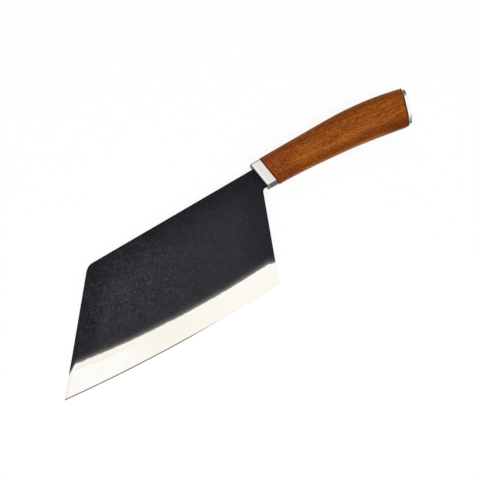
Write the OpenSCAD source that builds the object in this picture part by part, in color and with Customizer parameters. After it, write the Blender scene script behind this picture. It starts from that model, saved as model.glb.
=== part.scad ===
// Cleaver with a black forge-finished blade, a steel bolster, a wooden handle and a steel
// end cap. It lies on its side: +X runs from the blade's tip to the butt, +Y from the
// cutting edge to the spine, and +Z out of the blade's face. All lengths are millimetres.
// The pieces are drawn from the point where the blade's shoulder meets the spine line,
// and place() then moves them so that the origin lies below the middle of the whole knife.

/* [Blade] */
// Length from the tip to the bolster's front, along the spine
blade_len = 207.4; // [170:0.1:250]
// Depth of the cutting edge below the spine, at its lowest point
blade_depth = 84.9; // [70:0.1:110]
// Distance of the edge's lowest point ahead of the bolster
edge_low = 76; // [50:1:100]
// Radius of the cutting edge's long curve
edge_r = 1300; // [700:10:3000]
// Lean of the front edge away from square to the spine, in degrees
front_lean = 39.8; // [25:0.1:45]
// Radius of the corner between the spine and the front edge
front_corner_r = 10; // [2:0.5:20]
// Lean of the heel edge away from square to the spine, in degrees
heel_lean = 20.4; // [5:0.1:30]
// Height of the neck at the bolster
neck_h = 16.8; // [14:0.1:18]
// Length of the neck's lower side between the heel edge and the bolster
neck_len = 3.4; // [2.8:0.1:12]
// Radius of the hollow corner between the neck and the heel edge
choil_r = 3; // [1:0.1:3.6]
// Thickness of the blade's steel
stock_t = 2.5; // [2:0.1:4]

/* [Ground bevel] */
// Depth of the bevel's upper line below the spine, at its lowest point
bevel_line_depth = 68.1; // [50:0.1:76]
// Distance of that lowest point ahead of the bolster
bevel_line_low = 68; // [40:1:100]
// Radius of the bevel's upper line
bevel_line_r = 760; // [500:10:2000]
// Thickness of the steel where the fine secondary edge starts
edge_t = 0.4; // [0.3:0.05:0.8]
// Height of the fine secondary edge
fine_edge_h = 0.8; // [0.4:0.1:2]
// Thickness left at the very edge
edge_flat_t = 0.1; // [0.05:0.05:0.2]

/* [Tang and rod] */
// Height of the tang inside the bolster
tang_h = 11; // [8:0.5:13]
// Height of the tang at its end
tang_tip_h = 6; // [4:0.5:7]
// Thickness of the tang, ground clean of the black finish
tang_t = 2.2; // [1.5:0.1:2.4]
// Length of the tang behind the bolster
tang_len = 58; // [40:1:75]
// Diameter of the rod that carries the tang on to the butt
rod_d = 6; // [5:0.5:7]
// Length of the rod's fork over the end of the tang
fork_len = 12; // [6:1:20]

/* [Bolster] */
// Thickness of the bolster, square to its front face
bolster_t = 8.1; // [6:0.1:14]
// Lean of the bolster's faces away from square to the spine, in degrees
bolster_lean = 9; // [0:0.5:12]
// Length of the bolster's rounded front edge, along the handle
bolster_round = 1.5; // [0.6:0.1:2.5]
// Turn of that rounding at the front face, in degrees
bolster_roll = 45; // [30:1:80]
// How far the steel of bolster and cap stands below the wood's surface
steel_step = 0.1; // [0.05:0.05:0.8]

/* [Handle] */
// Height of the handle's back above the spine line, at the bolster
grip_rise = 3.8; // [3:0.1:6]
// Height of the wood at the bolster
grip_front_h = 23.4; // [22:0.1:28]
// Height of the wood at the butt
grip_butt_h = 29.2; // [27:0.1:36]
// Width of the wood at the bolster
grip_front_w = 18.5; // [16:0.1:24]
// Width of the wood at the butt
grip_butt_w = 21.6; // [20:0.1:28]
// Distance from the bolster's front to the butt of the wood, at mid-height
grip_reach = 119.5; // [110:0.5:140]
// Lean of the butt away from square to the spine, in degrees
butt_lean = 17.1; // [8:0.1:20]
// Distance from the bolster's front to where the back starts to droop
droop_start = 65; // [40:1:80]
// Radius of the drooping back
droop_r = 233; // [220:1:500]
// Distance from the bolster's front to where the wood starts to swell
swell_start = 12; // [10:1:40]
// Distance from the bolster's front to where the wood is fully swollen
swell_end = 106; // [90:1:120]
// Softening of the long corners of the wood
grip_soften = 3; // [0.5:0.1:4]
// Softening of the long corners of the bolster and the liners
steel_soften = 0.5; // [0.3:0.1:3]
// Softening of the long corners of the cap
cap_soften = 3; // [0.5:0.1:4]
// Small rounding at both ends of the wood
end_break = 0.4; // [0.2:0.1:1]
// Break of the bolster's edge against the blade
steel_break = 0.15; // [0.05:0.05:0.4]

/* [Long corner facets] */
// Height of the upper facet at the bolster
upper_front_h = 0.9; // [0.6:0.1:4]
// Height of the upper facet at the butt
upper_butt_h = 6.2; // [2:0.1:8]
// Width of the upper facet at the bolster
upper_front_w = 0.9; // [0.6:0.1:6]
// Width of the upper facet at the butt
upper_butt_w = 4.2; // [2:0.1:8]
// Height of the lower facet at the bolster
lower_front_h = 3.6; // [1:0.1:6]
// Height of the lower facet at the butt
lower_butt_h = 7.2; // [2:0.1:10]
// Width of the lower facet at the bolster
lower_front_w = 3; // [1:0.1:6]
// Width of the lower facet at the butt
lower_butt_w = 4.2; // [2:0.1:8]

/* [Liners and end cap] */
// Thickness of the dark liners in front of and behind the wood
liner_t = 0.4; // [0.3:0.1:1.5]
// Thickness of the end cap at its rim
cap_t = 2.8; // [2:0.1:5]
// Radius of the cap's rounded rim
cap_round = 1.1; // [0.8:0.1:2]
// Rise of the cap's domed back above its rim
cap_dome = 0.8; // [0.3:0.1:2]

/* [Fastening at the butt] */
// Depth of the counterbore below the butt, along the rod
pocket_depth = 10; // [9:0.5:14]
// Diameter of the washer
washer_d = 12; // [10:0.5:13]
// Thickness of the washer
washer_t = 1.2; // [0.8:0.1:1.5]
// Size of the nut across its flats
nut_af = 10; // [8.5:0.5:10]
// Height of the nut
nut_h = 5; // [3:0.5:5]
// Length of rod that stands out of the nut
rod_proud = 0.8; // [0.3:0.1:1]
// Diameter of the two cap pins
pin_d = 2.5; // [1.5:0.1:3]
// Depth of the cap pins in the wood
pin_depth = 7; // [4:0.5:9]
// Depth of the cap pins in the cap
pin_seat = 1.4; // [0.8:0.1:1.6]

/* [Clearances] */
// Gap between the blade's shoulder and the bolster's front face
shoulder_fit = 0.02; // [0.01:0.01:0.1]
// Gap on each side between the tang and the bolster's slot, and in the rod's fork
slot_fit = 0.05; // [0.02:0.01:0.2]
// Gap on each side between the rod and the nut, and between pins and holes
bore_fit = 0.05; // [0.02:0.01:0.2]
// Thickness of the adhesive round the tang and the rod
bed_t = 0.7; // [0.4:0.1:1]
// Room round the washer in its counterbore, on each side
pocket_fit = 0.5; // [0.2:0.1:1]
// Wood between the counterbore and the cap pins
pin_wall = 1.5; // [1:0.1:2]

/* [Hidden] */

// Facets of the true cylinders, and steps along the long curves
$fn = 64;
edge_steps = 40;
bevel_steps = 36;
corner_steps = 12;
grip_steps = 26;
round_steps = 5;
dome_steps = 4;
soft_steps = 4;
overrun = 2;

// The blade's outline
tip_x = -blade_len;
tip_y = edge_y(tip_x);
spine_front_x = tip_x - tip_y * tan(front_lean);
neck_back_x = neck_h * tan(bolster_lean);
neck_front_x = neck_back_x - neck_len;
heel_x = heel_line_x(edge_y(heel_line_x(-blade_depth)));

// Planes across the handle, each as the x and y of a point on it and its lean
bolster_front = shifted([0, 0, -bolster_lean], shoulder_fit);
bolster_back = shifted(bolster_front, bolster_t);
grip_front = shifted(bolster_back, liner_t);
grip_butt = [grip_reach, mid_y(grip_reach), butt_lean];
cap_front = shifted(grip_butt, liner_t);

// The rod runs straight from the tang's middle to the middle of the butt
tang_mid = -neck_h / 2;
rod_start_x = bolster_back[0];
rod_run = norm([grip_butt[0] - rod_start_x, grip_butt[1] - tang_mid]);
rod_tilt = atan2(tang_mid - grip_butt[1], grip_butt[0] - rod_start_x);
pocket_floor = rod_run - pocket_depth;
pocket_d = washer_d + 2 * pocket_fit;
rod_end = pocket_floor + washer_t + nut_h + rod_proud;
rod_bevel = rod_d / 8;
pin_offset = pocket_d / 2 + pin_d / 2 + pin_wall + pin_depth * tan(butt_lean - rod_tilt);

// The cap's widest and furthest rings, and the middle of the whole knife
cap_half_w = grip_w(grip_reach) / 2;
cap_flat_share = 0.12;
dome_reach = (cap_half_w - cap_round) * (1 - cap_flat_share);
back_x = max([for (ring = cap_rings(), p = ring) p[0]]);
middle = [(tip_x + back_x) / 2, (grip_rise - blade_depth) / 2, -grip_butt_w / 2];

// General helpers
function mix(a, b, share) = a + (b - a) * share;
function unit(v) = v / norm(v);

// Points of an arc of radius r that rounds the corner p between its neighbours a and b
function rounded(p, a, b, r) =
    let (ua = unit(a - p), ub = unit(b - p), half = acos(ua * ub) / 2)
    let (centre = p + unit(ua + ub) * r / sin(half), run = r / tan(half))
    let (from = p + ua * run - centre, to = p + ub * run - centre)
    let (start = atan2(from[1], from[0]))
    let (sweep = (atan2(to[1], to[0]) - start + 540) % 360 - 180)
    [for (i = [0:corner_steps])
        let (a = start + sweep * i / corner_steps) centre + r * [cos(a), sin(a)]];

// The cutting edge, the bevel's upper line and the heel edge
function edge_y(x) = edge_r - blade_depth - sqrt(pow(edge_r, 2) - pow(x + edge_low, 2));
function bevel_y(x) =
    bevel_line_r - bevel_line_depth - sqrt(pow(bevel_line_r, 2) - pow(x + bevel_line_low, 2));
function heel_line_x(y) = neck_front_x + (y + neck_h) * tan(heel_lean);

// A plane moved by d along its own normal, towards the butt
function shifted(plane, d) =
    [plane[0] + d * cos(plane[2]), plane[1] - d * sin(plane[2]), plane[2]];

// How far the wood has swollen at x, from 0 at the bolster to 1 at the butt
function swell(x) =
    let (share = (x - swell_start) / (swell_end - swell_start))
    (1 - cos(180 * min(max(share, 0), 1))) / 2;
function grip_h(x) = mix(grip_front_h, grip_butt_h, swell(x));
function grip_w(x) = mix(grip_front_w, grip_butt_w, swell(x));
function top_y(x) = grip_rise - pow(max(x - droop_start, 0), 2) / (2 * droop_r);
function mid_y(x) = top_y(x) - grip_h(x) / 2;

// The eight corners of the handle's section at x, as heights above its middle and widths
function corners(x) =
    let (h = grip_h(x) / 2, w = grip_w(x) / 2, s = swell(x))
    let (uh = mix(upper_front_h, upper_butt_h, s), uw = mix(upper_front_w, upper_butt_w, s))
    let (lh = mix(lower_front_h, lower_butt_h, s), lw = mix(lower_front_w, lower_butt_w, s))
    [[h, uw - w], [h, w - uw], [h - uh, w], [lh - h, w],
        [-h, w - lw], [-h, lw - w], [lh - h, -w], [h - uh, -w]];

// Point k of the section at x, with softened corners, drawn in by inset on every side
function section_point(x, k, inset, soften) =
    let (c = corners(x), j = floor(k / soft_steps), t = (k % soft_steps) / (soft_steps - 1))
    let (p = c[j], a = c[(j + 7) % 8] - p, b = c[(j + 1) % 8] - p)
    let (cut = min(soften, norm(a) * 0.45, norm(b) * 0.45))
    let (q = p + pow(1 - t, 2) * cut * unit(a) + pow(t, 2) * cut * unit(b))
    [mid_y(x) + q[0] * (1 - 2 * inset / grip_h(x)), q[1] * (1 - 2 * inset / grip_w(x))];

// Ring of the handle's surface in a leaning plane
function plane_x(plane, y) = plane[0] + (y - plane[1]) * tan(plane[2]);
function ring_point(plane, k, inset, soften) =
    let (near = plane_x(plane, section_point(plane[0], k, inset, soften)[0]))
    let (p = section_point(plane_x(plane, section_point(near, k, inset, soften)[0]),
        k, inset, soften))
    [plane_x(plane, p[0]), p[0], p[1]];
function ring(plane, inset, soften) =
    [for (k = [0:8 * soft_steps - 1]) ring_point(plane, k, inset, soften)];

// Rings of the bolster, the wood and the cap, from front to back
function bolster_rings() =
    let (r = bolster_round / sin(bolster_roll), drop = r * (1 - cos(bolster_roll)))
    concat([ring(bolster_front, steel_step + drop + steel_break, steel_soften)],
        [for (i = [0:round_steps])
            let (a = bolster_roll * (1 - i / round_steps))
            ring(shifted(bolster_front, steel_break + bolster_round - r * sin(a)),
                steel_step + r * (1 - cos(a)), steel_soften)],
        [ring(bolster_back, steel_step, steel_soften)]);
function grip_plane(share) = [for (i = [0:2]) mix(grip_front[i], grip_butt[i], share)];
function grip_rings() = concat(
    [ring(grip_front, end_break, grip_soften)],
    [ring(shifted(grip_front, end_break), 0, grip_soften)],
    [for (i = [1:grip_steps - 1]) ring(grip_plane(i / grip_steps), 0, grip_soften)],
    [ring(shifted(grip_butt, -end_break), 0, grip_soften)],
    [ring(grip_butt, end_break, grip_soften)]);
function cap_rings() = concat(
    [ring(cap_front, steel_step, cap_soften)],
    [for (i = [0:round_steps])
        let (a = 90 * i / round_steps)
        ring(shifted(cap_front, cap_t - cap_round * (1 - sin(a))),
            steel_step + cap_round * (1 - cos(a)), cap_soften)],
    [for (i = [1:dome_steps])
        let (share = i / dome_steps)
        ring(shifted(cap_front, cap_t + cap_dome * (1 - pow(1 - share, 2))),
            steel_step + cap_round + dome_reach * share, cap_soften)]);

// Outline of the blade without its tang, from the neck round to the heel
function blade_outline() =
    let (corner = [spine_front_x, 0], neck = [neck_front_x, -neck_h])
    let (heel = [heel_x, edge_y(heel_x)], neck_back = [neck_back_x, -neck_h])
    concat([[0, 0]], rounded(corner, [0, 0], [tip_x, tip_y], front_corner_r),
        [for (i = [0:edge_steps]) let (x = mix(tip_x, heel_x, i / edge_steps)) [x, edge_y(x)]],
        rounded(neck, heel, neck_back, choil_r), [neck_back]);

// A point at distance d along the rod and a distance off above it
function rod_point(d, off) =
    [rod_start_x + d * cos(rod_tilt) + off * sin(rod_tilt),
        tang_mid - d * sin(rod_tilt) + off * cos(rod_tilt)];

// Outline of the tang, grown by a margin on every side, from its root at x
function tang_outline(root_x, margin) =
    let (root = tang_h / 2 + margin, tip = tang_tip_h / 2 + margin)
    [[root_x, tang_mid - root], [rod_start_x, tang_mid - root],
        rod_point(tang_len + margin, -tip), rod_point(tang_len + margin, tip),
        [rod_start_x, tang_mid + root], [root_x, tang_mid + root]];

module place() {
    translate(-middle) children();
}

// Solid through a list of rings, closed by the first and the last of them
module loft(rings) {
    n = len(rings[0]);
    last = (len(rings) - 1) * n;
    sides = [for (i = [0:len(rings) - 2], k = [0:n - 1])
        let (a = i * n + k, b = i * n + (k + 1) % n)
        each [[a, b + n, b], [a, a + n, b + n]]];
    front = [for (k = [0:n - 1]) k];
    back = [for (k = [0:n - 1]) last + n - 1 - k];
    polyhedron([for (r = rings) each r], concat(sides, [front, back]));
}

// Children drawn along the rod, which becomes the +Z axis
module along_rod(d) {
    translate(concat(rod_point(d, 0), 0)) rotate([0, 90, -rod_tilt]) children();
}

// Children drawn at both cap pins, square to the butt, with the butt at zero
module at_pins() {
    for (side = [-1, 1])
        translate([grip_butt[0], grip_butt[1], 0]) rotate([0, 0, -butt_lean])
            translate([0, side * pin_offset, 0]) rotate([0, 90, 0]) children();
}

// What is ground off the upper side of the blade
module bevel_waste() {
    rings = [for (i = [0:bevel_steps])
        let (x = mix(tip_x - overrun, 0, i / bevel_steps), fine_y = edge_y(x) + fine_edge_h)
        let (slope = (stock_t - edge_t) / 2 / (bevel_y(x) - fine_y))
        let (fine_slope = (edge_t - edge_flat_t) / 2 / fine_edge_h)
        [[x, bevel_y(x) + overrun, stock_t / 2 + overrun * slope],
            [x, bevel_y(x) + overrun, stock_t],
            [x, edge_y(x) - overrun, stock_t],
            [x, edge_y(x) - overrun, edge_flat_t / 2 - overrun * fine_slope],
            [x, fine_y, edge_t / 2]]];
    loft(rings);
}

// Room for the tang and the rod in the wood, from ahead of the wood to the counterbore
module tang_room() {
    linear_extrude(tang_t + 2 * bed_t, center = true)
        polygon(tang_outline(grip_front[0] - overrun, bed_t));
    along_rod(-overrun) cylinder(h = pocket_floor + overrun, d = rod_d + 2 * bed_t);
}

module tang_shape() {
    linear_extrude(tang_t, center = true) polygon(tang_outline(0, 0));
}

module rod_shape() {
    start = tang_len - fork_len;
    along_rod(start) rotate_extrude()
        polygon([[0, 0], [rod_d / 2, 0], [rod_d / 2, rod_end - start - rod_bevel],
            [rod_d / 2 - rod_bevel, rod_end - start], [0, rod_end - start]]);
}

module blade() {
    color("#2b2d31") place() union() {
        difference() {
            linear_extrude(stock_t, center = true) polygon(blade_outline());
            bevel_waste();
            mirror([0, 0, 1]) bevel_waste();
        }
        tang_shape();
    }
}

module bolster() {
    slot_len = neck_back_x + bolster_t + 2 * overrun;
    slot_h = tang_h + 2 * slot_fit;
    slot_w = tang_t + 2 * slot_fit;
    color("#c9c7c2") place() difference() {
        loft(bolster_rings());
        translate([-overrun, tang_mid - slot_h / 2, -slot_w / 2])
            cube([slot_len, slot_h, slot_w]);
    }
}

module tang_rod() {
    color("#8d8f92") place() difference() {
        rod_shape();
        translate(concat(rod_point(tang_len - fork_len - overrun, 0), 0))
            rotate([0, 0, -rod_tilt]) translate([0, -rod_d, -tang_t / 2 - slot_fit])
            cube([fork_len + overrun, 2 * rod_d, tang_t + 2 * slot_fit]);
    }
}

module front_liner() {
    liner_inset = steel_step + liner_t / 2;
    color("#241a14") place() difference() {
        loft([for (d = [0, liner_t]) ring(shifted(bolster_back, d), liner_inset, steel_soften)]);
        linear_extrude(tang_t + 2 * slot_fit, center = true)
            polygon(tang_outline(0, slot_fit));
    }
}

module handle() {
    color("#8a4a1f") place() difference() {
        loft(grip_rings());
        tang_room();
        along_rod(pocket_floor) cylinder(h = pocket_depth + pocket_d, d = pocket_d);
        at_pins() translate([0, 0, -pin_depth])
            cylinder(h = pin_depth + overrun, d = pin_d + 2 * bore_fit);
    }
}

module tang_bedding() {
    block = grip_front_h + grip_butt_h;
    color("#c9b58a") place() difference() {
        tang_room();
        translate([grip_front[0], grip_front[1], 0]) rotate([0, 0, bolster_lean])
            translate([-block, -block / 2, -block / 2]) cube(block);
        tang_shape();
        rod_shape();
    }
}

module clamp_washer() {
    color("#b4b6b8") place() along_rod(pocket_floor) difference() {
        cylinder(h = washer_t, d = washer_d);
        translate([0, 0, -overrun])
            cylinder(h = washer_t + 2 * overrun, d = rod_d + 2 * bore_fit);
    }
}

module clamp_nut() {
    color("#b4b6b8") place() along_rod(pocket_floor + washer_t) difference() {
        cylinder(h = nut_h, d = nut_af / cos(30), $fn = 6);
        translate([0, 0, -overrun])
            cylinder(h = nut_h + 2 * overrun, d = rod_d + 2 * bore_fit);
    }
}

module rear_liner() {
    liner_inset = steel_step + liner_t / 2;
    color("#241a14") place() difference() {
        loft([for (d = [0, liner_t]) ring(shifted(grip_butt, d), liner_inset, steel_soften)]);
        at_pins() translate([0, 0, -overrun])
            cylinder(h = liner_t + 2 * overrun, d = pin_d + 2 * bore_fit);
    }
}

module end_cap() {
    color("#d4d4d2") place() difference() {
        loft(cap_rings());
        at_pins() translate([0, 0, -overrun])
            cylinder(h = overrun + liner_t + pin_seat, d = pin_d + 2 * bore_fit);
    }
}

module cap_pins() {
    color("#b4b6b8") place() at_pins() translate([0, 0, -pin_depth])
        cylinder(h = pin_depth + liner_t + pin_seat, d = pin_d);
}

blade();
bolster();
tang_rod();
front_liner();
handle();
tang_bedding();
clamp_washer();
clamp_nut();
rear_liner();
end_cap();
cap_pins();
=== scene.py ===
import math

import bmesh
import bpy
from mathutils import Matrix, Vector


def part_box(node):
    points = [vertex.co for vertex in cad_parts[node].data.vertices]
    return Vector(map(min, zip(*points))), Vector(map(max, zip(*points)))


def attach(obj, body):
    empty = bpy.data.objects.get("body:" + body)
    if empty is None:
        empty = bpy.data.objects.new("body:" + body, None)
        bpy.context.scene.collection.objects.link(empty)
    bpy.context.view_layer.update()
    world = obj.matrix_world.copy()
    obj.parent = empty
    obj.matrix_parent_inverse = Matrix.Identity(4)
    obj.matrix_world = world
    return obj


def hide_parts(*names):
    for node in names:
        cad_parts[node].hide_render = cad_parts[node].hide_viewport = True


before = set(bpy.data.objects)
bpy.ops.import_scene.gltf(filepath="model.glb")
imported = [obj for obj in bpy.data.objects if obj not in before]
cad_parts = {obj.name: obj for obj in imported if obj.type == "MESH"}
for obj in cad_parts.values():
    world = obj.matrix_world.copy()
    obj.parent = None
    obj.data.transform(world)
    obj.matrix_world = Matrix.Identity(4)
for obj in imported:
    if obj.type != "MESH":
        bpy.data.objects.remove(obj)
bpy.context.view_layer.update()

# The photographer's camera
# It looks straight down on the knife, which lies on its side, from a little over half a
# metre. The picture is turned so that the tip points down and left, the butt up and right.
MM = 0.001
FRAME_W = 357.46              # width of the picture in the blade's plane, in millimetres
LENS_REACH = 540.0            # distance from the lens to the blade's plane
SENSOR_W = 36.0
NEAREST, FARTHEST = 0.01, 20.0
VIEW_TURN = math.radians(30.25)
MIDDLE_FROM_TIP = 172.94      # the picture's middle, along the spine from the tip
MIDDLE_FROM_SPINE = 40.7      # and below the spine


def linked(name, data):
    """A new object in the scene."""
    made = bpy.data.objects.new(name, data)
    bpy.context.scene.collection.objects.link(made)
    return made


camera = linked("camera", bpy.data.cameras.new("camera"))
camera.data.sensor_width = SENSOR_W
camera.data.lens = SENSOR_W * LENS_REACH / FRAME_W
camera.data.clip_start = NEAREST
camera.data.clip_end = FARTHEST
blade_low, blade_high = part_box("blade")
blade_mid_z = (blade_low.z + blade_high.z) / 2
lens_place = Vector((
    blade_low.x + MIDDLE_FROM_TIP * MM,
    blade_high.y - MIDDLE_FROM_SPINE * MM,
    blade_mid_z + LENS_REACH * MM,
))
camera.matrix_world = Matrix.Translation(lens_place) @ Matrix.Rotation(-VIEW_TURN, 4, "Z")
bpy.context.scene.camera = camera
bpy.context.scene.view_settings.view_transform = "Standard"

# The blade
# One sheet of tool steel, forged and ground. Its flat upper part keeps the black forge
# scale, the lower part is a satin ground bevel that ends in a fine whetted edge, and a stub
# tang, ground clean, runs back from the neck into the bolster and the wood.
BLADE_LEN = 207.4             # from the tip to the bolster, along the spine
BLADE_DEPTH = 84.9            # from the spine down to the edge's lowest point
EDGE_LOW = 76.0               # that point's distance ahead of the bolster
EDGE_R = 1300.0
FRONT_LEAN = math.radians(39.8)
FRONT_CORNER_R = 10.0
HEEL_LEAN = math.radians(20.4)
NECK_H = 16.8
NECK_LEN = 3.4
CHOIL_R = 3.0
STOCK_T = 2.5
BEVEL_DEPTH = 68.1            # from the spine down to the lowest point of the bevel's line
BEVEL_LOW = 68.0              # that point's distance ahead of the bolster
BEVEL_R = 760.0
EDGE_T = 0.4                  # thickness where the fine edge starts
FINE_EDGE_H = 0.8
EDGE_FLAT_T = 0.1
TANG_H = 11.0
TANG_TIP_H = 6.0
TANG_T = 2.2
TANG_LEN = 58.0
BOLSTER_LEAN = math.radians(9.0)
BOLSTER_T = 8.1
SPINE_ROUND = 0.7             # rounding of the spine, the front and the heel
GROUND_ROUND = 0.2            # the same where the bevel ends at the front and the heel
ROUND_SHARE = 0.8             # the most of half the thickness that the rounding takes
RIM = 1.3                     # flat margin beside that rounding
LINE_SOFT = 1.4               # half the height over which the flat rolls into the bevel
FINE_EDGE_MARGIN = 0.3        # last row of points above the fine edge
BEVEL_ROW_SHARES = (0.25, 0.42, 0.6, 0.78)   # rows between those at both its lines
COLUMNS = 64
SPINE_STEPS = 12
CORNER_STEPS = 14
CHOIL_STEPS = 12
RIM_STEPS = 4
MEETING_TRIES = 20
HALVINGS = 40
SAME_POINT = 1e-8             # points closer than this, in metres, are one
HARD_EDGE = math.radians(32)  # faces that turn by more than this meet in a hard edge

# The point where the bolster's front meets the spine line, from which all is measured
datum = Vector((blade_low.x + BLADE_LEN * MM, blade_high.y, blade_mid_z))


def at(x, y, z=0.0):
    """A place given in millimetres from the datum, in the row frame's metres."""
    return datum + Vector((x, y, z)) * MM


def edge_y(x):
    return EDGE_R - BLADE_DEPTH - (EDGE_R**2 - (x + EDGE_LOW) ** 2.0) ** 0.5


def bevel_y(x):
    return BEVEL_R - BEVEL_DEPTH - (BEVEL_R**2 - (x + BEVEL_LOW) ** 2.0) ** 0.5


TIP = Vector((-BLADE_LEN, edge_y(-BLADE_LEN)))
SPINE_FRONT = Vector((TIP.x - TIP.y * math.tan(FRONT_LEAN), 0.0))
NECK_BACK = Vector((NECK_H * math.tan(BOLSTER_LEAN), -NECK_H))
NECK_FRONT = NECK_BACK - Vector((NECK_LEN, 0.0))
FRONT_IN = Vector((math.cos(FRONT_LEAN), -math.sin(FRONT_LEAN)))
HEEL_IN = Vector((-math.cos(HEEL_LEAN), math.sin(HEEL_LEAN)))

# The tang points along the rod behind it, which ends in the middle of the wood's butt. The
# wood's back stands a little above the spine and droops towards that butt.
GRIP_REACH = 119.5            # from the bolster's front to the butt of the wood
GRIP_RISE = 3.8
BUTT_H = 29.2
DROOP_START = 65.0
DROOP_R = 233.0
BUTT_MID_Y = GRIP_RISE - (GRIP_REACH - DROOP_START) ** 2 / (2 * DROOP_R) - BUTT_H / 2
ROD_START = Vector((BOLSTER_T * math.cos(BOLSTER_LEAN), -NECK_H / 2))
ROD_TILT = math.atan2(ROD_START.y - BUTT_MID_Y, GRIP_REACH - ROD_START.x)
ROD_WAY = Vector((math.cos(ROD_TILT), -math.sin(ROD_TILT)))


def front_x(y):
    return SPINE_FRONT.x + y * math.tan(FRONT_LEAN)


def heel_x(y):
    return NECK_FRONT.x + (y + NECK_H) * math.tan(HEEL_LEAN)


def meeting(side_x, line_y):
    """Where a straight side of the blade meets one of its long curves."""
    y = line_y(side_x(-BEVEL_DEPTH))
    for _ in range(MEETING_TRIES):
        y = line_y(side_x(y))
    return Vector((side_x(y), y))


HEEL = meeting(heel_x, edge_y)


def bisect(rule, low, high):
    """The share at which a falling rule passes zero."""
    for _ in range(HALVINGS):
        middle = (low + high) / 2
        low, high = (middle, high) if rule(middle) > 0 else (low, middle)
    return (low + high) / 2


def half_thickness(x, y):
    """Half the steel's thickness: flat, rolled softly into the bevel, then the fine edge."""
    fine_y = edge_y(x) + FINE_EDGE_H
    if y < fine_y:
        share = max(y - edge_y(x), 0.0) / FINE_EDGE_H
        return (EDGE_FLAT_T + (EDGE_T - EDGE_FLAT_T) * share) / 2
    depth = bevel_y(x) - y
    slope = (STOCK_T - EDGE_T) / 2 / (bevel_y(x) - fine_y)
    rolled = min(max(depth + LINE_SOFT, 0.0), 2 * LINE_SOFT)
    return STOCK_T / 2 - slope * (rolled**2 / (4 * LINE_SOFT) + max(depth - LINE_SOFT, 0.0))


def arc(corner, before, after, radius, steps):
    """Points that round a corner of the outline."""
    a, b = (before - corner).normalized(), (after - corner).normalized()
    half = a.angle(b) / 2
    centre = corner + (a + b).normalized() * radius / math.sin(half)
    start, end = (corner + side * radius / math.tan(half) - centre for side in (a, b))
    turn = start.angle_signed(end)
    return [centre + Matrix.Rotation(-turn * i / steps, 2) @ start for i in range(steps + 1)]


def ways_in(points, inner):
    """For each point of a run along the outline, the direction square to the run that
    points into the steel, which lies on the inner side."""
    ways = []
    for i in range(len(points)):
        way = (points[min(i + 1, len(points) - 1)] - points[max(i - 1, 0)]).normalized()
        way = Vector((-way.y, way.x))
        ways.append(way if way.dot(inner) > 0 else -way)
    return ways


def bevel_grid():
    """Columns of points from just above the bevel's line down to the edge."""
    line_start, line_end = meeting(front_x, bevel_y), meeting(heel_x, bevel_y)

    def rows(share):
        x_line = line_start.x + (line_end.x - line_start.x) * share
        x_edge = TIP.x + (HEEL.x - TIP.x) * share
        top, low = Vector((x_line, bevel_y(x_line))), Vector((x_edge, edge_y(x_edge)))

        def walk(v):
            return top + (low - top) * v

        def under_line(depth):
            return bisect(lambda v: depth - bevel_y(walk(v).x) + walk(v).y, -0.5, 1.0)

        def over_edge(height):
            return bisect(lambda v: walk(v).y - edge_y(walk(v).x) - height, 0.0, 1.1)

        soft = LINE_SOFT
        shares = [under_line(depth) for depth in (-soft, -soft / 2, 0.0, soft / 2, soft)]
        shares += BEVEL_ROW_SHARES
        shares += [over_edge(FINE_EDGE_H + FINE_EDGE_MARGIN), over_edge(FINE_EDGE_H), 1.0]
        return [walk(v) for v in shares]

    return [rows(i / COLUMNS) for i in range(COLUMNS + 1)]


def outline_stations(grid):
    """Two runs of points, each with its way into the steel: from the bolster along the
    spine and down the front, and from the bolster round the choil and down the heel."""
    corner = arc(SPINE_FRONT, Vector((0, 0)), TIP, FRONT_CORNER_R, CORNER_STEPS)
    spine = [Vector((corner[0].x * i / SPINE_STEPS, 0)) for i in range(SPINE_STEPS)]
    front_run = spine + corner
    front_ways = ways_in(front_run + [grid[0][0]], Vector((0, -1)))[:-1]
    front_ways[0] = Vector((math.tan(BOLSTER_LEAN), -1.0))
    heel_run = arc(NECK_FRONT, HEEL, NECK_BACK, CHOIL_R, CHOIL_STEPS) + [NECK_BACK]
    heel_ways = ways_in([grid[-1][0]] + heel_run, HEEL_IN)[1:]
    heel_ways[-1] = Vector((-math.tan(BOLSTER_LEAN), 1.0))
    heel_run, heel_ways = heel_run[::-1], heel_ways[::-1]
    for run, ways, outer, next_in, inner in (
        (front_run, front_ways, grid[0], grid[1], FRONT_IN),
        (heel_run, heel_ways, grid[-1], grid[-2], HEEL_IN),
    ):
        for near, far in zip(outer, next_in):
            way = (far - near).normalized()
            run.append(near)
            ways.append(way / way.dot(inner))
    return list(zip(front_run, front_ways)), list(zip(heel_run, heel_ways))


def rim_loop(mesh, point, way):
    """Points over the rounded rim at one station, from one flat to the other."""
    half_t = half_thickness(*point)
    black = min(max((point.y - bevel_y(point.x)) / (2 * LINE_SOFT) + 0.5, 0.0), 1.0)
    r = min(GROUND_ROUND + (SPINE_ROUND - GROUND_ROUND) * black, half_t * ROUND_SHARE)
    half = [(RIM, None)]
    for k in range(RIM_STEPS + 1):
        a = math.radians(90 * k / RIM_STEPS)
        half.append((r * (1 - math.sin(a)), half_t - r * (1 - math.cos(a))))
    verts = []
    for side, heights in ((1, half), (-1, half[::-1])):
        for inset, z in heights:
            spot = point + way * inset
            z = half_thickness(*spot) if z is None else z
            verts.append(mesh.verts.new(at(spot.x, spot.y, side * z)))
    return verts


def bridge(mesh, loops, closed):
    """Faces between loops of points that follow one another."""
    for one, two in zip(loops, loops[1:]):
        for k in range(len(one) if closed else len(one) - 1):
            n = (k + 1) % len(one)
            mesh.faces.new((one[k], one[n], two[n], two[k]))


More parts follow.
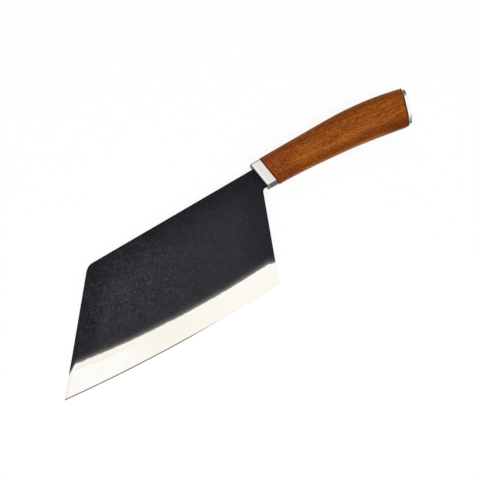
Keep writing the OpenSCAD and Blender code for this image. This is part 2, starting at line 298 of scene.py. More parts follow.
def grow_tang(mesh, neck_end):
    """The tang grows out of the end of the neck and tapers along the rod."""
    tang_mid = -NECK_H / 2

    def root(off):
        y = tang_mid + off * TANG_H / 2
        return -y * math.tan(BOLSTER_LEAN), y

    def bend(off):
        return ROD_START.x, tang_mid + off * TANG_H / 2

    def tip(off):
        end = ROD_START + ROD_WAY * TANG_LEN
        return end + Vector((-ROD_WAY.y, ROD_WAY.x)) * off * TANG_TIP_H / 2

    sections = [neck_end]
    for place in (root, bend, tip):
        section = []
        for v in neck_end:
            spot = (v.co - datum) / MM
            x, y = place((spot.y - tang_mid) / (NECK_H / 2))
            section.append(mesh.verts.new(at(x, y, spot.z * TANG_T / STOCK_T)))
        sections.append(section)
    bridge(mesh, sections, closed=True)
    mesh.faces.new(sections[-1])


def blade_mesh():
    mesh = bmesh.new()
    grid = bevel_grid()
    front, heel = outline_stations(grid)
    front_loops = [rim_loop(mesh, point, way) for point, way in front]
    heel_loops = [rim_loop(mesh, point, way) for point, way in heel]
    for loops in (front_loops, heel_loops):
        bridge(mesh, loops, closed=False)
        mesh.faces.new(loops[-1])

    # The two flats, the two bevels and the flat of the cutting edge between them
    n_rows = len(grid[0])
    sides = []
    for side, pick in ((1, 0), (-1, -1)):
        net = [[loop[pick] for loop in front_loops[-n_rows:]]]
        for column in grid[1:-1]:
            net.append([mesh.verts.new(at(*p, side * half_thickness(*p))) for p in column])
        net.append([loop[pick] for loop in heel_loops[-n_rows:]])
        bridge(mesh, net, closed=False)
        flat = [loop[pick] for loop in front_loops[:-n_rows]] + [column[0] for column in net]
        flat += [loop[pick] for loop in heel_loops[:-n_rows][::-1]]
        mesh.faces.new(flat)
        sides.append(net)
    bridge(mesh, [(upper[-1], lower[-1]) for upper, lower in zip(*sides)], closed=False)
    grow_tang(mesh, front_loops[0] + heel_loops[0][::-1])
    return mesh


def plain_object(name, mesh):
    """An object whose mesh stays as it was drawn."""
    data = bpy.data.meshes.new(name)
    mesh.to_mesh(data)
    mesh.free()
    return linked(name, data)


def make_piece(name, mesh):
    """A shaded object from a mesh, smooth except where its faces turn sharply."""
    bmesh.ops.remove_doubles(mesh, verts=mesh.verts, dist=SAME_POINT)
    bmesh.ops.recalc_face_normals(mesh, faces=mesh.faces)
    piece = plain_object(name, mesh)
    for polygon in piece.data.polygons:
        polygon.use_smooth = True
    piece.data.set_sharp_from_angle(angle=HARD_EDGE)
    return piece


def settle(piece, node):
    """The piece stands for its CAD node and lies with the whole knife."""
    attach(piece, "root")
    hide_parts(node)


def maths(operation):
    """An operator of fields, which adds a node to their tree."""
    def operator(field, *others):
        made = node(field.tree, "ShaderNodeMath", field, *others, operation=operation)
        return Field(field.tree, made.outputs[0])
    return operator


class Field:
    """A value inside a node tree, so that a rule of shape or finish reads as a formula."""

    __add__ = __radd__ = maths("ADD")
    __sub__ = maths("SUBTRACT")
    __mul__ = __rmul__ = maths("MULTIPLY")
    __truediv__ = maths("DIVIDE")
    __pow__ = maths("POWER")
    __abs__ = maths("ABSOLUTE")
    at_least = maths("MAXIMUM")
    at_most = maths("MINIMUM")
    exponent = maths("EXPONENT")
    cosine = maths("COSINE")
    tangent = maths("TANGENT")

    def __init__(self, tree, socket):
        self.tree = tree
        self.socket = socket

    def __rsub__(self, other):
        return self * -1.0 + other


def feed(tree, slot, value):
    """Links a field or another node's output to an input, or sets its plain value."""
    if isinstance(value, Field):
        value = value.socket
    if isinstance(value, bpy.types.NodeSocket):
        tree.links.new(value, slot)
    else:
        slot.default_value = value


def node(tree, kind, *values, **settings):
    """A new node in a tree. The values feed its inputs in order. A setting that starts with
    a capital feeds the input of that name, and any other is the node's own."""
    made = tree.nodes.new(kind)
    inputs = {name: value for name, value in settings.items() if name[0].isupper()}
    for name in settings.keys() - inputs.keys():
        setattr(made, name, settings[name])
    for slot, value in zip(made.inputs, values):
        feed(tree, slot, value)
    for name, value in inputs.items():
        feed(tree, made.inputs[name.replace("_", " ")], value)
    return made


def rise(value, low, high, kind="SMOOTHSTEP"):
    """0 below low, 1 above high, and a smooth step between them."""
    made = node(value.tree, "ShaderNodeMapRange", interpolation_type=kind,
                Value=value, From_Min=low, From_Max=high)
    return Field(value.tree, made.outputs[0])


def fading(distance, reach):
    """1 up to a line, dying away within a few times the reach beyond it."""
    return (0.0 - distance.at_least(0.0) / reach).exponent()


def soft_spot(*offsets):
    """1 in the middle of a spot or a band, dying away all round it. Each offset from the
    middle is a share of the spot's reach that way."""
    return (0.0 - sum(offset ** 2.0 for offset in offsets)).exponent()


def vector(x, y, z):
    tree = next(part.tree for part in (x, y, z) if isinstance(part, Field))
    return Field(tree, node(tree, "ShaderNodeCombineXYZ", x, y, z).outputs[0])


def parts_of(value):
    made = node(value.tree, "ShaderNodeSeparateXYZ", value)
    return [Field(value.tree, output) for output in made.outputs]


def noise(place, scale=1.0, detail=2.0, roughness=0.5):
    made = node(place.tree, "ShaderNodeTexNoise", Vector=place, Scale=scale, Detail=detail,
                Roughness=roughness)
    return Field(place.tree, made.outputs["Fac"])


def blend(share, one, two):
    """A colour between two colours, by a share."""
    made = node(share.tree, "ShaderNodeMix", data_type="RGBA", Factor=share)
    for name, colour in (("A", one), ("B", two)):
        slot = [s for s in made.inputs if s.name == name and s.type == "RGBA"][0]
        feed(share.tree, slot, colour if isinstance(colour, Field) else srgb(*colour))
    output = [s for s in made.outputs if s.type == "RGBA"][0]
    return Field(share.tree, output)


def srgb(red, green, blue):
    """A colour as a screen shows it, 0 to 255, in the linear values that shaders take."""
    def linear(c):
        c = c / 255
        return c / 12.92 if c <= 0.04045 else ((c + 0.055) / 1.055) ** 2.4
    return (linear(red), linear(green), linear(blue), 1.0)


def new_finish(name):
    """A bare finish, and a place on the piece in millimetres from the datum."""
    material = bpy.data.materials.new(name)
    material.use_nodes = True
    tree = material.node_tree
    source = node(tree, "ShaderNodeTexCoord")
    place = node(tree, "ShaderNodeMapping", Vector=source.outputs["Object"],
                 Scale=(1 / MM, 1 / MM, 1 / MM), Location=-datum / MM)
    return material, Field(tree, place.outputs[0])


def coat(material, tone, rough, relief, depth, strength, **looks):
    """Lays colour, roughness and the like on a finish, under a fine relief. Relief is 0
    to 1, and its depth is in millimetres."""
    tree = material.node_tree
    shader = tree.nodes["Principled BSDF"]
    bump = node(tree, "ShaderNodeBump", Strength=strength, Distance=depth * MM, Height=relief)
    looks.update(Base_Color=tone, Roughness=rough, Normal=bump.outputs["Normal"])
    for name, value in looks.items():
        feed(tree, shader.inputs[name.replace("_", " ")], value)
    return material


# Colours of the blade's finish, and where along the blade it changes
SCALE_BLACK, SCALE_WORN = (6, 6, 9), (78, 77, 86)
SCALE_RUST = (62, 58, 52)
SCALE_HAZE = (166, 163, 155)
GROUND_CREAM, GROUND_GREY = (251, 246, 235), (249, 246, 237)
WHITE_COOL, WHITE_WARM = (254, 253, 249), (254, 251, 246)
SEAM_TAN = (240, 229, 206)
# EDGE_SHADE_GREY is painted shade along the fine edge
EDGE_SHADE_GREY = (100, 96, 88)
BARE_STEEL = (196, 196, 194)
FRONT_DIP, HEEL_DIP = 6.0, 1.9     # how far the scale's lower limit dips at both ends
STRONG_X, WEAK_X = -130.0, -35.0   # the scale's grain weakens between these
CLUSTER_X, CLUSTER_Y = -126.0, -36.0
CLUSTER_HALF_W, CLUSTER_HALF_H = 32.0, 22.0


def forge_scale(place, height, from_front, from_heel):
    """The black scale and its grain: blacker beside the spine, the front and the heel, where
    beside the heel it is partly painted shade from the bolster, with soft clouds, and a fine
    grain with sparse pale specks that is strongest in front."""
    x, y, _ = parts_of(place)
    forward = 1 - rise(x, STRONG_X, WEAK_X)
    inner = rise(0.0 - y, -3.0, 27.0) * (0.2 + 0.8 * rise(from_front, 7.0, 22.0))
    # Less wear beside the heel: partly the scale's own black, partly painted shadow of the
    # bolster on the blade
    inner = inner * (0.35 + 0.65 * rise(from_heel, 4.0, 30.0))
    clouds = noise(place, 0.09, 3.0, 0.6) - 0.5
    grains = noise(place, 0.95, 1.0) - 0.5
    flecks = noise(place, 0.42, 2.0, 0.6) - 0.5
    specks = rise(noise(place, 0.85, 1.0), 0.62, 0.76)
    cluster = soft_spot((x - CLUSTER_X) / CLUSTER_HALF_W, (y - CLUSTER_Y) / CLUSTER_HALF_H)
    coarse = (0.34 + forward * 0.76) * (0.6 + 0.4 * rise(height, 8.0, 24.0))
    worn = 0.165 + inner * 0.295 + clouds * coarse * 0.4
    speckle = grains * 1.6 + flecks * 0.8
    worn = worn + (speckle + speckle * speckle * 2.0) * coarse * (0.55 + inner * 0.45)
    worn = worn + specks * (forward * inner * 0.25 + cluster * 0.9)
    tone = blend(rise(worn, 0.0, 1.6, "LINEAR"), SCALE_BLACK, SCALE_WORN)
    rusty = rise(noise(place, 0.55, 1.0), 0.6, 0.72) * forward * inner
    tone = blend(rusty * 0.35, tone, SCALE_RUST)

    # Just above the line the grinding has worn the scale to a haze that fades upwards
    tone = blend(fading(height, 1.15), tone, SCALE_HAZE)
    return tone, grains, flecks


def ground_bevel(place, height, from_front):
    """Cream steel, whiter in front and at the heel. In front it stays cream in a band under
    the scale, with a thin tan line along the band's wavy lower limit, and so does a strip
    along the front and the edge."""
    x, y, _ = parts_of(place)
    above_edge = y - edge_y(x)
    wave = (noise(vector(x, y * 0.4, 0.0), 0.12, 3.0) - 0.5) * 4.0
    below_band = 1 - rise(height, -4.3 + wave, -3.5 + wave)
    patches = noise(place, 0.1, 3.0, 0.6)
    white = (1 - rise(x + patches * 30.0, -148.0, -112.0)) * below_band
    white = white.at_least(rise(x + patches * 30.0, -92.0, -35.0) * 0.6)
    white = white * rise(from_front, 1.6, 3.4) * (0.45 + 0.55 * rise(above_edge, 1.0, 3.0))
    pale = blend(rise(patches, 0.42, 0.58), WHITE_COOL, WHITE_WARM)
    tone = blend(white, blend(patches, GROUND_CREAM, GROUND_GREY), pale)
    seam = rise(height, -5.0 + wave, -4.2 + wave) * (1 - rise(height, -4.0 + wave, -2.8 + wave))
    seam = seam * (1 - rise(x + patches * 60.0, -140.0, -90.0)) * rise(from_front, 2.4, 5.0)
    tone = blend(seam * 0.45, tone, SEAM_TAN)

    # Painted shade: the whetted edge shows as a grey line that fades towards the heel, standing
    # in for the dark its steeper face mirrors
    whetted_edge_shade = (1 - rise(above_edge, 0.72, 0.86)) * (1 - rise(x, -112.0, -70.0))
    return blend(whetted_edge_shade, tone, EDGE_SHADE_GREY)


def blade_finish():
    """Black forge scale above a ragged line, satin ground steel below it."""
    material, place = new_finish("forged_blade")
    x, y, z = parts_of(place)
    from_front = (x - SPINE_FRONT.x) * FRONT_IN.x + y * FRONT_IN.y
    from_heel = (x - NECK_FRONT.x) * HEEL_IN.x + (y + NECK_H) * HEEL_IN.y
    dips = (1 - rise(from_front, 0.0, 3.8)) * FRONT_DIP
    dips = dips + (1 - rise(from_heel, 0.0, 7.0)) * HEEL_DIP
    ragged = (noise(place, 0.9, 3.0) - 0.5) * 0.8 + (noise(place, 0.16, 2.0) - 0.5)
    height = y - bevel_y(x) + dips + ragged
    black = rise(height, -0.15, 0.15, "LINEAR")
    scale_tone, grains, flecks = forge_scale(place, height, from_front, from_heel)
    tone = blend(black, ground_bevel(place, height, from_front), scale_tone)

    # Inside the bolster the scale is ground off
    bare = rise(x + y * math.tan(BOLSTER_LEAN), 0.25, 0.45)
    tone = blend(bare, tone, BARE_STEEL)
    metal = (1 - black).at_least(bare)
    grain = noise(vector(x * 3.0, y * 0.12, z), 1.0, 2.0)
    rough = (0.5 - flecks * 0.2) * black + (0.17 + grain * 0.08) * (1 - black)
    relief = (grains + flecks + 0.5) * black + grain * 0.06 * (1 - black)
    return coat(material, tone, rough, relief, 0.03, 0.4, Metallic=metal, Specular_IOR_Level=0.1)


blade = make_piece("blade_forged", blade_mesh())
blade.data.materials.append(blade_finish())
settle(blade, "blade")

# The bolster
# A solid steel collar with a slot for the tang, brushed round its sides. Its front edge
# is rounded over towards the blade, and its long corners carry the handle's facets.
STEEL_STEP = 0.1              # the steel stands this far below the wood
STEEL_SOFTEN = 0.5            # softening of the steel's long corners
BOLSTER_ROUND = 1.5           # length of the rounded front edge, which turns by the roll
BOLSTER_ROLL = math.radians(45)
BOLSTER_ROUND_STEPS = 8
STEEL_BREAK = 0.15            # chamfer between the front face and that rounding
EDGE_BREAK = 0.12             # chamfer where the steel meets a liner
FRONT_INSETS, BACK_INSETS = (2.0, 0.6), (2.0, 1.0)
SIDE_MARGINS = (0.5, 0.6)     # rings on the side, beside the rounding and the chamfer
SHOULDER_FIT = 0.02           # gap between the blade's shoulder and the bolster
SLOT_FIT = 0.05
LINER_T = 0.4
BUTT_LEAN = math.radians(17.1)
CURVE_STEPS = 6               # points over each softened long corner
SOFTEN_SHARE = 0.45           # the most of a facet that such a corner takes
NO_BORE = 0.001               # a bore narrower than this is none
OFF_AXIS = 0.0001             # least offset from the rod's axis that is divided by
GRIP_SIZES = {
    "Rise": GRIP_RISE, "Droop start": DROOP_START, "Droop radius": DROOP_R,
    "Swell start": 12.0, "Swell end": 106.0,
    "Height, front": 23.4, "Height, butt": BUTT_H,
    "Width, front": 18.5, "Width, butt": 21.6,
    "Upper facet height, front": 0.9, "Upper facet height, butt": 6.2,
    "Upper facet width, front": 0.9, "Upper facet width, butt": 4.2,
    "Lower facet height, front": 3.6, "Lower facet height, butt": 7.2,
    "Lower facet width, front": 3.0, "Lower facet width, butt": 4.2,
}
# The eight long corners, each as top or bottom, right or left, and whether it lies on
# the handle's narrow top or bottom (1) or on its side (0)
CORNERS = [(1, -1, 1), (1, 1, 1), (1, 1, 0), (-1, 1, 0),
           (-1, 1, 1), (-1, -1, 1), (-1, -1, 0), (1, -1, 0)]


def shifted(plane, d):
    """A plane across the handle moved by d towards the butt. It is x, y and its lean."""
    return (plane[0] + d * math.cos(plane[2]), plane[1] - d * math.sin(plane[2]), plane[2])


bolster_front = shifted((0.0, 0.0, -BOLSTER_LEAN), SHOULDER_FIT)
bolster_back = shifted(bolster_front, BOLSTER_T)
grip_front = shifted(bolster_back, LINER_T)
grip_butt = (GRIP_REACH, BUTT_MID_Y, BUTT_LEAN)
cap_front = shifted(grip_butt, LINER_T)

# A bore is half a slot's height, half its width, and the radius of a round hole
tang_slot = (TANG_H / 2 + SLOT_FIT, TANG_T / 2 + SLOT_FIT, 0.0)


def rod_y(plane):
    """Height of the rod's axis where it passes a leaning plane."""
    x, y, lean = plane
    tilt = math.tan(ROD_TILT)
    ahead = x - y * math.tan(lean) - ROD_START.x
    return (ROD_START.y - ahead * tilt) / (1 + math.tan(lean) * tilt)


def flat_face(plane, rim, insets, bore=None):
    """Rings over a flat end, from its bore out to its rim."""
    return [(plane, rim + inset, None if i else bore) for i, inset in enumerate(insets)]


def rounded_rim(face, inset, radius, steps, towards, turn=math.pi / 2):
    """Rings over the rounded rim of a face, from the blade towards the butt. The side lies
    behind a front face (1), or ahead of a rear face (-1)."""
    rings = []
    for i in range(steps + 1):
        a = turn * (1 - i / steps if towards > 0 else i / steps)
        depth = radius * (math.sin(turn) - math.sin(a))
        rings.append((shifted(face, towards * depth), inset + radius * (1 - math.cos(a)), None))
    return rings


def blank(name, rings, open_bore):
    """Straight stock for one piece of the handle. Each point is told its plane, its
    corner, how far it is drawn in, and the bore that it lies on, if it does."""
    mesh = bmesh.new()
    kinds = ("plane", "corner", "before", "after", "bore")
    vectors = {key: mesh.verts.layers.float_vector.new(key) for key in kinds}
    numbers = {key: mesh.verts.layers.float.new(key) for key in ("inset", "bend", "axis")}
    around = len(CORNERS) * CURVE_STEPS
    loops = []
    for number, (plane, inset, bore) in enumerate(rings):
        loop = []
        for k in range(around):
            j = k // CURVE_STEPS
            turn = 2 * math.pi * k / around
            v = mesh.verts.new((number, math.cos(turn), math.sin(turn)))
            v[vectors["plane"]] = plane
            v[vectors["corner"]] = CORNERS[j]
            v[vectors["before"]] = CORNERS[j - 1]
            v[vectors["after"]] = CORNERS[(j + 1) % len(CORNERS)]
            v[vectors["bore"]] = bore or (0.0, 0.0, 0.0)
            v[numbers["inset"]] = inset
            v[numbers["bend"]] = (k % CURVE_STEPS) / (CURVE_STEPS - 1)
            v[numbers["axis"]] = rod_y(plane)
            loop.append(v)
        loops.append(loop)
    if open_bore:
        loops.append(loops[0])
    else:
        mesh.faces.new(loops[0])
        mesh.faces.new(loops[-1])
    bridge(mesh, loops, closed=True)
    return plain_object(name, mesh)


def swell_at(x, start, end):
    """How far the handle has swollen at x: 0 in front, 1 at the butt."""
    share = ((x - start) / (end - start)).at_least(0.0).at_most(1.0)
    return (1 - (share * math.pi).cosine()) / 2


def grip_form_tree():
    """The rule of the handle's form: its back droops, its section swells towards the
    butt, and four facets widen with it. It lays a blank's points on that form."""
    tree = bpy.data.node_groups.new("grip_form", "GeometryNodeTree")
    sizes = (*GRIP_SIZES, "Softening")
    inputs = {"Geometry": "Geometry", **dict.fromkeys(sizes, "Float"),
              "Datum": "Vector", "Finish": "Material"}
    for name, kind in inputs.items():
        tree.interface.new_socket(name, in_out="INPUT", socket_type="NodeSocket" + kind)
    tree.interface.new_socket("Geometry", in_out="OUTPUT", socket_type="NodeSocketGeometry")
    entry = node(tree, "NodeGroupInput")
    size = {name: Field(tree, entry.outputs[name]) for name in sizes}

    def attribute(name, kind):
        made = node(tree, "GeometryNodeInputNamedAttribute", data_type=kind, Name=name)
        return Field(tree, [s for s in made.outputs if s.enabled][0])

    plane_x, plane_y, lean = parts_of(attribute("plane", "FLOAT_VECTOR"))
    corner, before, after = (
        parts_of(attribute(key, "FLOAT_VECTOR")) for key in ("corner", "before", "after")
    )
    slot_h, slot_w, bore_r = parts_of(attribute("bore", "FLOAT_VECTOR"))
    inset, bend, axis = (attribute(key, "FLOAT") for key in ("inset", "bend", "axis"))

    def swollen(swell, name):
        front, butt = size[f"{name}, front"], size[f"{name}, butt"]
        return front + (butt - front) * swell

    def section(x):
        """Height and side of the point where the section at x passes it."""
        swell = swell_at(x, size["Swell start"], size["Swell end"])
        high, wide = swollen(swell, "Height"), swollen(swell, "Width")
        facets = [swollen(swell, f"{place} facet {kind}")
                  for place in ("Upper", "Lower") for kind in ("height", "width")]
        past = (x - size["Droop start"]).at_least(0.0)
        middle = size["Rise"] - past * past / (size["Droop radius"] * 2) - high / 2

        def spot(signs):
            top, right, flat = signs
            upper = (top + 1) / 2
            cut_h = facets[2] + (facets[0] - facets[2]) * upper
            cut_w = facets[3] + (facets[1] - facets[3]) * upper
            return (top * (high / 2 - (1 - flat) * cut_h), right * (wide / 2 - flat * cut_w))

        p = spot(corner)
        sides = []
        for other in (spot(before), spot(after)):
            dy, dz = other[0] - p[0], other[1] - p[1]
            sides.append((dy, dz, (dy * dy + dz * dz) ** 0.5))
        cut = size["Softening"]
        for dy, dz, length in sides:
            cut = cut.at_most(length * SOFTEN_SHARE)
        near, far = cut * (1 - bend) ** 2.0 / sides[0][2], cut * bend**2.0 / sides[1][2]
        y = p[0] + near * sides[0][0] + far * sides[1][0]
        z = p[1] + near * sides[0][1] + far * sides[1][1]
        return middle + y * (1 - inset * 2 / high), z * (1 - inset * 2 / wide)

    # The point has to lie on its leaning plane, so x follows y, three times over
    slant = lean.tangent()
    x = plane_x
    for _ in range(3):
        y, z = section(x)
        x = plane_x + (y - plane_y) * slant

    # Points of the bore lie on the slot or the round hole, whichever reaches further
    dy, dz = y - axis, z
    away = (dy * dy + dz * dz) ** 0.5
    far_h = slot_h * away / abs(dy).at_least(OFF_AXIS)
    far_w = slot_w * away / abs(dz).at_least(OFF_AXIS)
    reach = far_h.at_most(far_w).at_least(bore_r)
    inside = rise(reach, NO_BORE, 2 * NO_BORE)
    share = 1 - inside + inside * reach / away
    y, z = axis + dy * share, dz * share
    x = plane_x + (y - plane_y) * slant

    place = node(tree, "ShaderNodeVectorMath", vector(x, y, z), (MM, MM, MM),
                 entry.outputs["Datum"], operation="MULTIPLY_ADD")
    laid = node(tree, "GeometryNodeSetPosition", Geometry=entry.outputs["Geometry"],
                Position=place.outputs[0])
    real = node(tree, "GeometryNodeRealizeInstances", laid.outputs[0])
    finished = node(tree, "GeometryNodeSetMaterial", Geometry=real.outputs[0],
                    Material=entry.outputs["Finish"])
    node(tree, "NodeGroupOutput", finished.outputs[0])
    return tree


grip_form = grip_form_tree()


def shape_on_grip(name, rings, open_bore, softening, finish):
    """Lays a blank on the handle's form and returns it as a plain mesh piece."""
    stock = blank(name + "_blank", rings, open_bore)
    modifier = stock.modifiers.new("grip_form", "NODES")
    modifier.node_group = grip_form
    values = {**GRIP_SIZES, "Softening": softening, "Datum": datum, "Finish": finish}
    for socket in grip_form.interface.items_tree:
        if socket.in_out == "INPUT" and socket.name in values:
            modifier[socket.identifier] = values[socket.name]
    stock.update_tag()
    bpy.context.view_layer.update()
    shaped = stock.evaluated_get(bpy.context.evaluated_depsgraph_get())
    data = bpy.data.meshes.new_from_object(shaped)
    stock.modifiers.remove(modifier)
    bpy.data.objects.remove(stock)
    mesh = bmesh.new()
    mesh.from_mesh(data)
    for layers in (mesh.verts.layers.float_vector, mesh.verts.layers.float):
        for layer in list(layers.values()):
            layers.remove(layer)
    piece = make_piece(name, mesh)
    piece.data.materials.append(finish)
    return piece


def bolster_rings():
    radius = BOLSTER_ROUND / math.sin(BOLSTER_ROLL)
    lowered = STEEL_STEP + radius * (1 - math.cos(BOLSTER_ROLL))
    roll_start = shifted(bolster_front, STEEL_BREAK)
    rings = flat_face(bolster_front, lowered, (*FRONT_INSETS, STEEL_BREAK), tang_slot)
    rings += rounded_rim(roll_start, STEEL_STEP, radius, BOLSTER_ROUND_STEPS, 1, BOLSTER_ROLL)
    rings += [(shifted(roll_start, BOLSTER_ROUND + SIDE_MARGINS[0]), STEEL_STEP, None)]
    rings += [(shifted(bolster_back, -SIDE_MARGINS[1]), STEEL_STEP, None)]
    rings += [(shifted(bolster_back, -EDGE_BREAK), STEEL_STEP, None)]
    back = flat_face(bolster_back, STEEL_STEP, (*BACK_INSETS, EDGE_BREAK), tang_slot)
    return rings + back[::-1]


BRUSHED_GREY, BRUSHED_PALE = (222, 220, 214), (236, 233, 228)
# painted shade and a painted highlight for the bolster's front
FRONT_SHADE_DARK = (66, 64, 62)
ROUND_HIGHLIGHT_WHITE = (253, 251, 246)


def bolster_finish():
    """Satin steel, brushed along the collar's height and round its corners."""
    material, place = new_finish("brushed_bolster")
    x, y, z = parts_of(place)
    # The brushing keeps square to the leaning collar, so it follows its planes
    along = x + y * math.tan(BOLSTER_LEAN)
    lines = noise(vector(along * 7.0, y * 0.22, z * 0.22), 1.0, 3.0, 0.6)
    broad = noise(vector(along * 1.2, y * 0.15, z * 0.15), 1.0, 2.0)
    tone = blend(rise(lines * 0.6 + broad * 0.4, 0.3, 0.7), BRUSHED_GREY, BRUSHED_PALE)
    # Painted shade on the face against the blade, for the black blade it mirrors and the shadow
    # at the joint, and a painted highlight where the rounding ends
    painted_front_shade = 1 - rise(along, 0.1, 0.85)
    tone = blend(painted_front_shade, tone, FRONT_SHADE_DARK)
    # Painted highlight along the line where the rounding ends
    painted_highlight = rise(along, 1.4, 1.8) * (1 - rise(along, 2.0, 2.6))
    tone = blend(painted_highlight * 0.8, tone, ROUND_HIGHLIGHT_WHITE)
    rough = 0.13 + lines * 0.1 + painted_front_shade * 0.2
    return coat(material, tone, rough, lines, 0.02, 0.35, Metallic=1.0)


bolster = shape_on_grip("bolster_collar", bolster_rings(), True, STEEL_SOFTEN, bolster_finish())
settle(bolster, "bolster")

# The rod on the tang
# A round steel rod, forked over the end of the tang and welded to it. It carries the
# tang's pull through the wood to the nut at the butt, and was turned in a lathe.
ROD_D = 6.0
TURNED_GREY, TURNED_PALE = (176, 178, 182), (206, 207, 209)


def turned_finish():
    """Plain turned steel with fine rings round the rod's axis."""
    material, place = new_finish("turned_steel")
    x, y, z = parts_of(place)
    along = (x - ROD_START.x) * ROD_WAY.x + (y - ROD_START.y) * ROD_WAY.y
    rings = noise(vector(along * 5.0, y * 0.05, z * 0.05), 1.0, 2.0)
    tone = blend(rings, TURNED_GREY, TURNED_PALE)
    return coat(material, tone, 0.3 + rings * 0.15, rings, 0.03, 0.5, Metallic=1.0)


def dress(name, finish):
    """A CAD node that keeps its shape takes a finish of its own."""
    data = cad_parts[name].data
    data.materials.clear()
    data.materials.append(finish)


dress("tang_rod", turned_finish())

# The front liner
# A thin dark fibre spacer between the bolster and the wood, which takes up the working
# of the wood and shows only as a fine dark line round the joint.
LINER_INSETS = (1.5, 0.3, 0.0)
FIBRE_DARK, FIBRE_BROWN = (30, 19, 14), (58, 36, 24)


def liner_finish():
    """Dark vulcanised fibre, dull, with a faint mottle."""
    material, place = new_finish("dark_fibre")
    mottle = noise(place, 1.6, 3.0)
    tone = blend(mottle, FIBRE_DARK, FIBRE_BROWN)
    return coat(material, tone, 0.62 + mottle * 0.2, mottle, 0.03, 0.5, Specular_IOR_Level=0.25)


def liner_rings(plane, bore=None):
    rim = STEEL_STEP + LINER_T / 2
    back = flat_face(shifted(plane, LINER_T), rim, LINER_INSETS, bore)
    return flat_face(plane, rim, LINER_INSETS, bore) + back[::-1]


fibre = liner_finish()
front_liner = shape_on_grip(
    "front_liner_fibre", liner_rings(bolster_back, tang_slot), True, STEEL_SOFTEN, fibre
)
settle(front_liner, "front_liner")

# The handle
# One block of reddish brown hardwood, bored from end to end for the rod, slotted for the
# tang and counterbored at the butt. It is shaped by hand after gluing, then oiled.
GRIP_SOFTEN = 3.0
END_BREAK = 0.4               # rounding of the wood's two ends
END_BREAK_STEPS = 4
WOOD_INSETS = (1.6, 0.5)
GRIP_RINGS = 58
BED_T = 0.7                   # room for the adhesive round tang and rod
POCKET_R = 6.5
POCKET_DEPTH = 10.0
POCKET_STEP_SHARE = 0.001     # steps in the bore, as shares of the wood's length
SLOT_STEP_SHARE = 0.01
SLOT_RING_SHARES = (0.75, 0.5, 0.25)


def handle_rings():
    slot = (TANG_H / 2 + BED_T, TANG_T / 2 + BED_T, ROD_D / 2 + BED_T)
    hole = (0.0, 0.0, ROD_D / 2 + BED_T)
    pocket = (0.0, 0.0, POCKET_R)

    def between(share):
        """A plane on the way from the wood's front to its butt."""
        return tuple(a + (b - a) * share for a, b in zip(grip_front, grip_butt))

    rings = flat_face(grip_front, END_BREAK, WOOD_INSETS, slot)
    rings += rounded_rim(grip_front, 0.0, END_BREAK, END_BREAK_STEPS, 1)
    rings += [(between(i / GRIP_RINGS), 0.0, None) for i in range(1, GRIP_RINGS)]
    rings += rounded_rim(grip_butt, 0.0, END_BREAK, END_BREAK_STEPS, -1)
    rings += flat_face(grip_butt, END_BREAK, WOOD_INSETS, pocket)[::-1]

    # Back through the bore: the counterbore, the rod's hole, and the tang's slot
    run = GRIP_REACH - grip_front[0]
    floor = 1 - POCKET_DEPTH / run
    tang_end = (ROD_START.x + TANG_LEN - grip_front[0]) / run
    rings += [(between((1 + floor) / 2), 0.0, pocket), (between(floor), 0.0, pocket)]
    rings += [(between(floor - POCKET_STEP_SHARE), 0.0, hole), (between(tang_end), 0.0, hole)]
    rings += [(between(tang_end - SLOT_STEP_SHARE), 0.0, slot)]
    rings += [(between(tang_end * share), 0.0, slot) for share in SLOT_RING_SHARES]
    return rings


WOOD_DARK, WOOD_BROWN, WOOD_GOLD = (86, 34, 8), (149, 76, 18), (192, 117, 38)
WOOD_RED = (128, 54, 20)
PORE_BROWN = (74, 28, 2)
SHADE_AND_JOINT_BROWN = (100, 40, 2)
SHADE_LINE_BROWN = (80, 34, 2)
BACK_SHEEN_GREY = (150, 122, 96)
GRAIN_TILT = math.radians(-6.0)
GOLD_BAND_Y, GOLD_BAND_FALL, GOLD_BAND_HALF = -8.4, 0.078, 2.6
RED_END = (28.0, 34.0)        # the red front ends between these
STAIN_X, STAIN_Y = 17.0, -13.2
STAIN_HALF_L, STAIN_HALF_H = 11.0, 2.4
# Painted shading line under the back's edge
SHADE_LINE_X, SHADE_LINE_Y, SHADE_LINE_HALF = 18.0, 1.7, 1.3
SHADE_LINE_FALL, SHADE_LINE_CURVE = 0.07, 0.00078
# REAR: where the painted shade on the belly reaches its very corner
REAR = (90.0, 106.0)          # the belly darkens to its very corner between these


